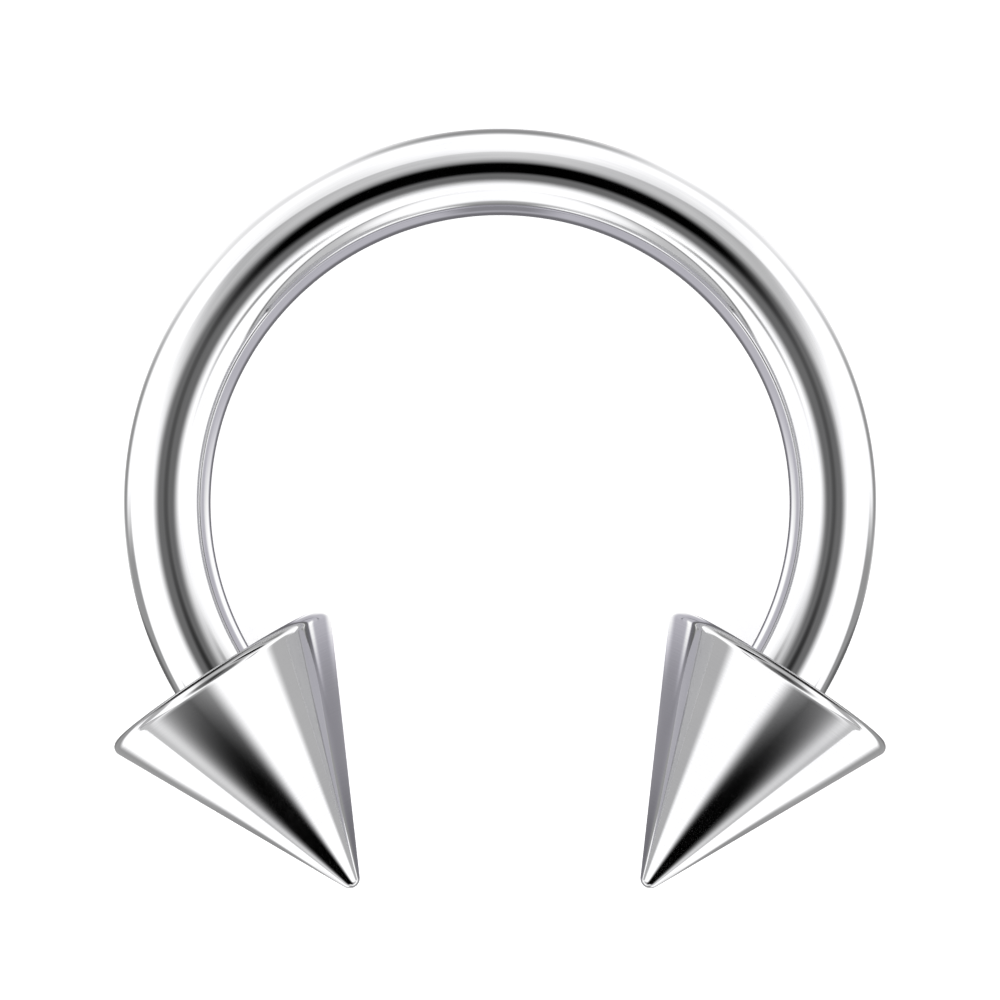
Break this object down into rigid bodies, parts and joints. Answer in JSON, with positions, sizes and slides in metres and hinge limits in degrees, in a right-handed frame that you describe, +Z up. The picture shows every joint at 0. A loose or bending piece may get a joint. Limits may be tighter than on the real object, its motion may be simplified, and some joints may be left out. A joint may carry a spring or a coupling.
{
  "type": "horseshoe barbell",
  "caption": "Open circular barbell of round polished wire for a body piercing, with a screw-on cone spike at each end.",
  "frame": {"origin": "on the table under the middle of the whole object as it lies on its side", "axes": "+Z up from the table; -Y the way the two cones point; +X across the open ring, from the left cone to the right"},
  "size_m": [0.0106, 0.0104, 0.0035],
  "materials": {
    "polished_steel": "mirror-polished stainless steel, unplated"
  },
  "bodies": {
    "ring": {"wire_ring": "polished_steel"},
    "left_end": {"cone_left": "polished_steel"},
    "right_end": {"cone_right": "polished_steel"}
  },
  "joints": [
    {"name": "unscrew_left", "type": "slide", "parent": "ring", "child": "left_end", "axis": [0.5461, -0.8269, 0.134], "range_m": [0, 0.0022]},
    {"name": "unscrew_right", "type": "slide", "parent": "ring", "child": "right_end", "axis": [-0.5461, -0.8269, 0.134], "range_m": [0, 0.0022]}
  ]
}
